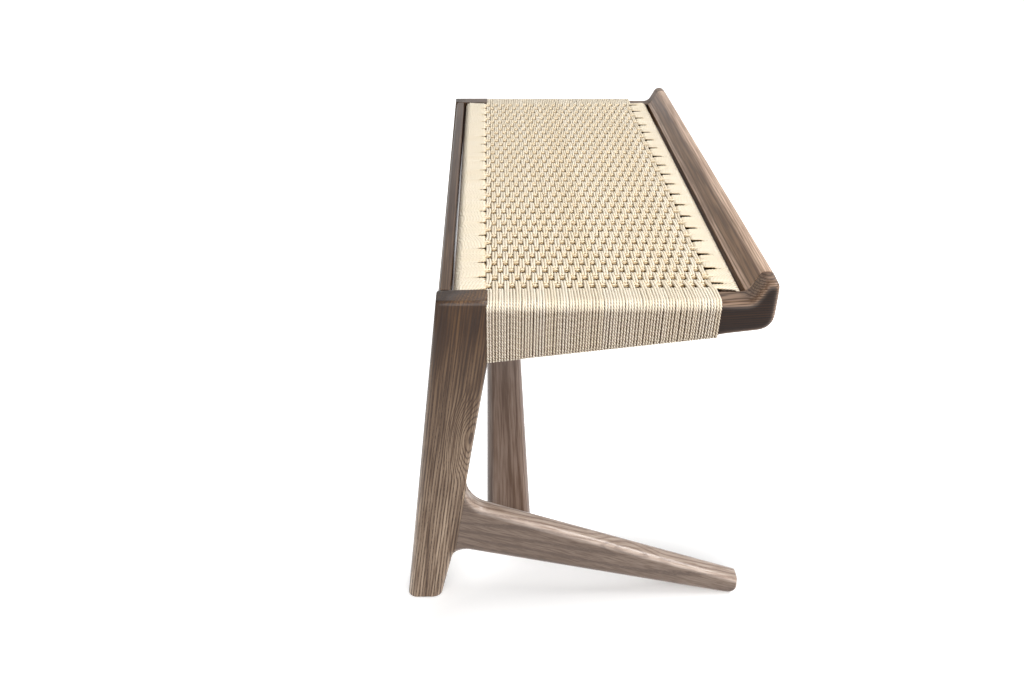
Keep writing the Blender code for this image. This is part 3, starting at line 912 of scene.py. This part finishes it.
    def weft_strand(self, row: int, place: float) -> np.ndarray:
        """Line of one weft strand, from the front bar to the back bar.

        Args:
            row: Which row it belongs to, counted from the right.
            place: Where it lies along the bench.

        Returns:
            The strand's points.
        """
        front, back = (self.bar_tail(bar, row) for bar in self.bars)
        tilt = self.weft_tilt if place > self.row_places[row] else 0.0
        depths = [
            self.weft_low if self.over(pair, row) else self.weft_high + tilt
            for pair in range(self.pairs)
        ]
        heights = np.array([front[0, 1], *(self.top - np.array(depths)), back[0, 1]])
        share = (self.pair_places - self.low.y) / (self.high.y - self.low.y)
        crossings = self.pair_places + self.drawn(share, 0.0)
        stations = np.array([front[0, 0], *crossings, back[0, 0]])
        across = np.arange(front[0, 0], back[0, 0], self.cord.ring / 2)
        web = np.column_stack((across, eased(across, stations, heights)))
        flat = np.vstack((front[::-1], web, back))
        shift = sum(
            self.fan(bar, place, flat[:, 0]) * (bar.facing * flat[:, 0] > bar.near)
            for bar in self.bars
        )
        return np.column_stack((place + shift + self.drift(len(flat)), flat))

    def filler_loops(self, bar: "Bar") -> list[np.ndarray]:
        """Lays the turns that cover a bar beside the weft rows.

        Args:
            bar: The bar.

        Returns:
            The turns' closed lines.
        """
        bottom = bar.bottom - self.half
        middle = (bar.near + bar.far) / 2
        corners = (
            (middle, bottom),
            (bar.near - self.half - bar.inset, bottom),
            (bar.near - self.half - bar.inset, self.top),
            (bar.far + self.half, self.top),
            (bar.far + self.half, bottom),
            (middle + self.half, bottom),
        )
        bend = self.half + self.bar_round
        line = rounded(corners, (bend, self.half + self.inner_round, bend, bend))
        line = line * (bar.facing, 1.0)
        loops = []
        for row, place in enumerate(self.row_places):
            steps = [*self.filler_steps]
            if bar.notched(self, row):
                steps += self.notch_steps
            if row in (0, self.rows - 1):
                steps.append(math.copysign(self.end_step, place))
            for step in steps:
                x = place + step * self.cord.diameter
                shift = self.fan(bar, x, line[:, 0]) + self.drift(len(line))
                loops.append(np.column_stack((x + shift, line)))
        return loops

    def core(self) -> None:
        """Lays a thin dark sheet inside the web, painted shade that shows between the strands."""
        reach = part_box("right_end_rail")[0].x
        front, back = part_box("front_cord_bar")[1].y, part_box("back_cord_bar")[0].y
        bpy.ops.mesh.primitive_cube_add(
            size=1.0,
            location=(0.0, (front + back) / 2, self.top - self.core_drop - self.core_thickness / 2),
            scale=(2 * reach, back - front, self.core_thickness),
        )
        piece = bpy.context.active_object
        piece.name = "web_core"
        pick_only(piece)
        bpy.ops.object.transform_apply(location=True, rotation=True, scale=True)
        bpy.ops.object.mode_set(mode="EDIT")
        bpy.ops.mesh.select_all(action="SELECT")
        bpy.ops.mesh.bevel(offset=self.core_ease, segments=2)
        bpy.ops.object.mode_set(mode="OBJECT")
        piece.data.materials.append(self.core_material)
        hand_over(piece, ["seat_weave"])

    def wind_pairs(
        self,
        name: str,
        places: np.ndarray,
        pieces: int,
        strand: Callable[[int, float], np.ndarray],
        beside: Axis,
        nodes: Sequence[str],
    ) -> None:
        """Winds pairs of strands as a few pieces.

        Args:
            name: What the pieces' names start with.
            places: The middle of each pair.
            pieces: How many pieces share the pairs.
            strand: Gives the line of one strand of a pair.
            beside: The axis along which the next strand lies.
            nodes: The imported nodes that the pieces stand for.
        """
        for i, group in enumerate(np.array_split(np.arange(len(places)), pieces)):
            paths = []
            for pair in group:
                ends = [strand(pair, places[pair] + step) for step in (-self.half, self.half)]
                paths.append(self.loop(*ends))
            piece = self.cord.wind(f"{name}_{i + 1}", paths, self.material, self.depth, beside)
            hand_over(piece, nodes)

    def build(self) -> None:
        """Winds the whole web."""
        self.core()
        ends = ["seat_weave", *(f"{side.label}_end_wrap" for side in Side)]
        bars = ["seat_weave", *(bar.wrap for bar in self.bars)]
        warps, wefts = (self.pair_places, self.warp_pieces), (self.row_places, self.weft_pieces)
        self.wind_pairs("warp_cords", *warps, self.warp_strand, Axis.Y, ends)
        self.wind_pairs("weft_cords", *wefts, self.weft_strand, Axis.X, bars)
        for bar in self.bars:
            loops = self.filler_loops(bar)
            turns = self.cord.wind(f"{bar.name}_bar_turns", loops, self.material, self.depth, Axis.X)
            hand_over(turns, [bar.wrap])


@dataclass
class Bar:
    """A cord bar along one long side of the seat."""

    name: str
    facing: int  # which way along Y is outward
    last_pair: int  # the warp pair beside the bar
    push: float
    # How much deeper the painted shade is beside the bar's notches.
    notch_shade_gain: float
    inset: float

    def __post_init__(self) -> None:
        """Takes the bar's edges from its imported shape."""
        low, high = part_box(f"{self.name}_cord_bar")
        self.near = low.y if self.facing > 0 else -high.y
        self.far = high.y if self.facing > 0 else -low.y
        self.bottom = low.z
        self.wrap = f"{self.name}_bar_wrap"

    def notched(self, seat: WovenSeat, row: int) -> bool:
        """Whether a weft row goes down inside the bar, under the last warp pair."""
        return seat.over(self.last_pair, row)

    def beside_notch(self, seat: WovenSeat, points: np.ndarray) -> np.ndarray:
        """How near points on the bar lie to a row that goes down inside it.

        Args:
            seat: The seat that the bar belongs to.
            points: The points.

        Returns:
            One on such a row, nothing between rows and off the bar.
        """
        notches = seat.row_places[[self.notched(seat, row) for row in range(seat.rows)]]
        after = np.clip(np.searchsorted(-notches, -points[:, 0]), 1, len(notches) - 1)
        away = np.minimum(
            np.abs(points[:, 0] - notches[after]), np.abs(points[:, 0] - notches[after - 1])
        )
        close = np.clip(seat.notch_edge * (1.0 - away / seat.notch_half), 0.0, 1.0)
        edge = self.near - self.inset - seat.half
        return close * (self.facing * points[:, 1] > edge)


@dataclass
class WoodPiece:
    """A visible wooden piece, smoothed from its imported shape."""

    node: str
    finish: Walnut
    voxel: float = 0.001
    soft_steps: int = 110
    soft_factor: float = 0.5
    rim_slope: float = 3.0
    rim_start: float = 0.3

    def soften(self, piece: bpy.types.Object) -> None:
        """Rounds the outer rim of an end rail's nose more fully.

        Args:
            piece: The piece, at the origin.
        """
        pick_only(piece)
        even = piece.modifiers.new("even_mesh", "REMESH")
        even.mode = "VOXEL"
        even.voxel_size = self.voxel
        bpy.ops.object.modifier_apply(modifier=even.name)
        spots = np.empty(3 * len(piece.data.vertices))
        piece.data.vertices.foreach_get("co", spots)
        spots = spots.reshape(-1, 3)
        inner, outer = sorted(abs(corner.x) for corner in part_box(self.node))
        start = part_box("seat_weave")[1].y
        slope = self.rim_slope / (outer - inner)
        out = np.clip((np.abs(spots[:, 0]) - inner) * slope - self.rim_start, 0.0, 1.0)
        past = np.clip((spots[:, 1] - start) * slope, 0.0, 1.0)
        rim = piece.vertex_groups.new(name="rim")
        for i, weight in enumerate(out * past):
            rim.add([i], float(weight), "REPLACE")
        soft = piece.modifiers.new("soft_rim", "SMOOTH")
        soft.factor = self.soft_factor
        soft.iterations = self.soft_steps
        soft.vertex_group = rim.name
        bpy.ops.object.modifier_apply(modifier=soft.name)

    def build(self) -> None:
        """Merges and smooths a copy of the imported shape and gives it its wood."""
        piece = bpy.data.objects.new(f"{self.node}_wood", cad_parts[self.node].data.copy())
        bpy.context.scene.collection.objects.link(piece)
        pick_only(piece)
        bpy.ops.object.mode_set(mode="EDIT")
        bpy.ops.mesh.select_all(action="SELECT")
        bpy.ops.mesh.remove_doubles(threshold=MERGE_DISTANCE)
        bpy.ops.mesh.dissolve_limited(angle_limit=FLAT_ANGLE)
        bpy.ops.object.mode_set(mode="OBJECT")
        if self.node.endswith("end_rail"):
            self.soften(piece)
        bpy.ops.object.shade_smooth_by_angle(angle=SMOOTH_ANGLE)
        even = piece.modifiers.new("even_shading", "WEIGHTED_NORMAL")
        even.keep_sharp = True
        bpy.ops.object.modifier_apply(modifier=even.name)
        low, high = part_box(self.node)
        piece.data.materials.clear()
        piece.data.materials.append(self.finish.material(f"walnut_{self.node}", (low + high) / 2))
        hand_over(piece, [self.node])


@dataclass
class EndFrame:
    """One end of the bench: its post, its foot and its end rail."""

    side: Side
    seed: float

    def finishes(self) -> dict[str, Walnut]:
        """Chooses the wood of each piece.

        Returns:
            The finishes, by the pieces' names without their side.
        """
        return {
            # Close dotted lines that bend round an eye, paler towards the floor because painted shade
            # browns it towards the seat and darkens its broad sides.
            "post": Walnut(
                Grain.UPRIGHT,
                self.seed,
                light="#c0ad97",
                middle="#a28a76",
                pore="#3a291d",
                upper="#917859",
                aged="#cfcbc8",
                pore_run=0.22,
                ring_pitch=3.6,
                ring_wander=2.2,
                swirl=(20.0, 42.0),
                swirl_size=(27.0, 70.0),
                swirl_turns=6.0,
            ),
            # Pale and evenly figured, with a sheen along its rounded top and painted shade on its broad
            # sides.
            "foot": Walnut(
                Grain.SLOPING,
                self.seed + 1.0,
                light="#b3a295",
                middle="#a59285",
                pore="#786558",
                aged="#9e9690",
                band="#dcd5cf",
                fibre="#d0c6be",
                fibre_run=0.04,
                pore_run=0.2,
                ring_pitch=7.0,
                ring_wander=2.0,
                ring_jitter=0.3,
                heart=(55.0, 8.0),
                swirl=(1.0, 40.0),
                swirl_size=(11.0, 60.0),
                swirl_turns=2.2,
                coat=0.5,
            ),
            # Striped over the nose, with painted shade on the flat of its side.
            "end_rail": Walnut(
                Grain.CROSSWISE,
                self.seed + 2.0,
                light="#9c836f",
                middle="#806955",
                pore="#3c2a1e",
                aged="#4f3b28",
                aged_turn=(0.8, 1.0),
                fibre="#c0b2a6",
                gloss=0.25,
                coat=0.05,
            ),
        }

    def build(self) -> None:
        """Dresses the frame's pieces."""
        for part, finish in self.finishes().items():
            WoodPiece(f"{self.side.label}_{part}", finish).build()


@dataclass
class LongRails:
    """The rails along the bench: front, back and floor."""

    seed: float

    def finishes(self) -> dict[str, Walnut]:
        """Chooses the wood of each rail.

        Returns:
            The finishes, by the rails' names.
        """
        return {
            # Dark and plain.
            "front_rail": Walnut(
                Grain.LENGTHWISE, self.seed, light="#634b35", middle="#503b2a", gloss=0.2
            ),
            # The palest piece, striped along its cove and lip, with painted shade on its long side
            # faces.
            "back_rail": Walnut(
                Grain.LENGTHWISE,
                self.seed + 1.0,
                light="#e8cab2",
                middle="#d0b39a",
                pore="#856b57",
                aged="#a99681",
                band="#cdc3bb",
                fibre="#bcb0a6",
            ),
            # Soft grey brown with wide lines.
            "floor_stretcher": Walnut(
                Grain.LENGTHWISE,
                self.seed + 2.0,
                light="#9a8578",
                middle="#877266",
                pore="#6a5446",
                band="#dad2cc",
                fibre="#cfc5bd",
                heart=(60.0, 10.0),
                ring_pitch=4.0,
                ring_wander=2.0,
            ),
        }

    def build(self) -> None:
        """Dresses the rails."""
        for node, finish in self.finishes().items():
            WoodPiece(node, finish).build()


@dataclass
class HiddenParts:
    """The tenons, cord bars and glides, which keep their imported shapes."""

    seed: float

    def build(self) -> None:
        """Gives the wooden ones dark walnut and the glides felt."""
        wood = Walnut(
            Grain.LENGTHWISE, self.seed, light="#4a3a30", middle="#3f3129", pore="#231a15"
        ).material("walnut_hidden", Vector())
        felt = Felt().material("wool_felt")
        for name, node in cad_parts.items():
            if name.endswith(("_tenon", "_bar", "_glide")):
                node.data.materials[0] = felt if name.endswith("_glide") else wood
                log.info("%s: packed shape, %s", name, node.data.materials[0].name)


@dataclass(frozen=True)
class Softbox:
    """An oblong soft light, with its width and height in metres and its power in watts."""

    name: str
    place: Point
    size: Range
    power: float

    def build(self, aim: Vector) -> None:
        """Hangs the light.

        Args:
            aim: The point that it faces.
        """
        bpy.ops.object.light_add(type="AREA", location=self.place)
        light = bpy.context.active_object
        light.name = self.name
        light.data.energy = self.power
        light.data.shape = "RECTANGLE"
        light.data.size, light.data.size_y = self.size
        ahead = aim - Vector(self.place)
        light.rotation_euler = ahead.to_track_quat("-Z", "Y").to_euler()


@dataclass
class Studio:
    """Pale seamless floor, soft lights and the camera."""

    focal_pixels: float = 890.0
    place: Point = (1.16645, -0.10305, 0.87695)
    yaw: float = math.radians(-1.5945)
    pitch: float = math.radians(31.553)
    roll: float = math.radians(0.4355)
    floor_tone: str = "#f4f4f4"
    floor_roughness: float = 0.9
    floor_size: float = 12.0
    floor_edge: float = 1.0
    floor_lift: float = 0.06  # glow where the shadow falls, which keeps it
    # The floor's glow rises over this distance from its middle, painting light over the bench's shadow
    # further off.
    floor_middle: Point = (0.75, 0.12, 0.0)
    floor_fade: Range = (0.45, 0.62)
    ambient: float = 0.13
    aim: Point = (0.0, 0.0, 0.3)
    lights: tuple[Softbox, ...] = (
        Softbox("side_light", (0.15, 2.0, 2.1), (1.5, 0.75), 44.0),
        Softbox("overhead_light", (0.6, 0.0, 3.4), (3.0, 3.0), 20.0),
        Softbox("front_light", (2.5, 0.5, 1.3), (5.5, 2.6), 138.0),
    )

    def build(self) -> None:
        """Sets up the floor, the lights and the camera."""
        self.floor()
        self.world()
        for light in self.lights:
            light.build(Vector(self.aim))
        self.camera()
        bpy.context.scene.view_settings.view_transform = "Standard"

    @staticmethod
    def seen(tree: Tree, hidden: float, shown: float | Socket) -> Socket:
        """A strength that differs for what the camera and reflections see.

        Args:
            tree: The node tree that takes it.
            hidden: The strength as light on the bench.
            shown: The strength as seen straight on, in a reflection or through glass.

        Returns:
            The strength.
        """
        looked_at = add_node(tree, "LightPath", out="Is Camera Ray")
        for ray in ("Is Glossy Ray", "Is Transmission Ray"):
            other = add_node(tree, "LightPath", out=ray)
            looked_at = add_node(tree, "Math", {0: looked_at, 1: other}, operation="MAXIMUM")
        return add_node(tree, "MapRange", {"Value": looked_at, "To Min": hidden, "To Max": shown})

    def floor(self) -> None:
        """A white floor that glows for the camera, faintly near the foot, which keeps the bench's
        shadow there, and fully further off, which paints light over it.
        """
        middle = self.floor_edge - self.floor_size / 2
        bpy.ops.mesh.primitive_plane_add(size=self.floor_size, location=(middle, 0.0, 0.0))
        floor = bpy.context.active_object
        floor.name = "floor"
        bpy.ops.object.transform_apply(location=True, rotation=True, scale=True)
        values = {
            "Base Color": srgb(self.floor_tone),
            "Roughness": self.floor_roughness,
            "Emission Color": srgb(WHITE),
        }
        material, tree, shader = new_material("white_floor", values)
        ends = {0: add_node(tree, "TexCoord", out="Object"), 1: Vector(self.floor_middle)}
        away = add_node(tree, "VectorMath", ends, out="Value", operation="DISTANCE")
        start, end = self.floor_fade
        bright = add_node(
            tree,
            "MapRange",
            {"Value": away, "From Min": start, "From Max": end, "To Min": self.floor_lift},
            **SMOOTH,
        )
        tree.links.new(self.seen(tree, 0.0, bright), shader.inputs["Emission Strength"])
        floor.data.materials.append(material)

    def world(self) -> None:
        """Dim surroundings that look white."""
        world = bpy.data.worlds.new("surroundings")
        world.use_nodes = True
        tree = world.node_tree
        background = tree.nodes["Background"]
        background.inputs["Color"].default_value = srgb(WHITE)
        tree.links.new(self.seen(tree, self.ambient, 1.0), background.inputs["Strength"])
        bpy.context.scene.world = world

    def camera(self) -> None:
        """The camera at the photograph's angle."""
        level = math.cos(self.pitch)
        ahead = Vector(
            (-level * math.cos(self.yaw), -level * math.sin(self.yaw), -math.sin(self.pitch))
        )
        right = ahead.cross(Vector((0.0, 0.0, 1.0))).normalized()
        upward = right.cross(ahead)
        c, s = math.cos(self.roll), math.sin(self.roll)
        right, upward = c * right + s * upward, c * upward - s * right
        data = bpy.data.cameras.new("camera")
        data.lens = self.focal_pixels / IMAGE_WIDTH * SENSOR_WIDTH
        data.sensor_width = SENSOR_WIDTH
        camera = bpy.data.objects.new("camera", data)
        turn = Matrix((right, upward, -ahead)).transposed().to_4x4()
        camera.matrix_world = Matrix.Translation(self.place) @ turn
        bpy.context.scene.collection.objects.link(camera)
        bpy.context.scene.camera = camera


def main() -> None:
    """Builds the bench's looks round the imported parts."""
    logging.basicConfig(level=logging.INFO, format="%(name)s: %(message)s")
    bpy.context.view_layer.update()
    cord_paper = PaperCord().material("paper_cord_cream")
    # Painted shade: the sheet inside the web, a nearly black brown cord colour.
    shade_sheet_paper = PaperCord(crown="#2b2014", groove="#2b2014").material("paper_cord_core")
    cord = Cord(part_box("seat_weave")[1].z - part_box("back_cord_bar")[1].z)
    WovenSeat(cord, cord_paper, shade_sheet_paper).build()
    EndFrame(Side.RIGHT, 1.0).build()
    EndFrame(Side.LEFT, 4.0).build()
    LongRails(7.0).build()
    HiddenParts(10.0).build()
    Studio().build()


if __name__ == "__main__":
    main()
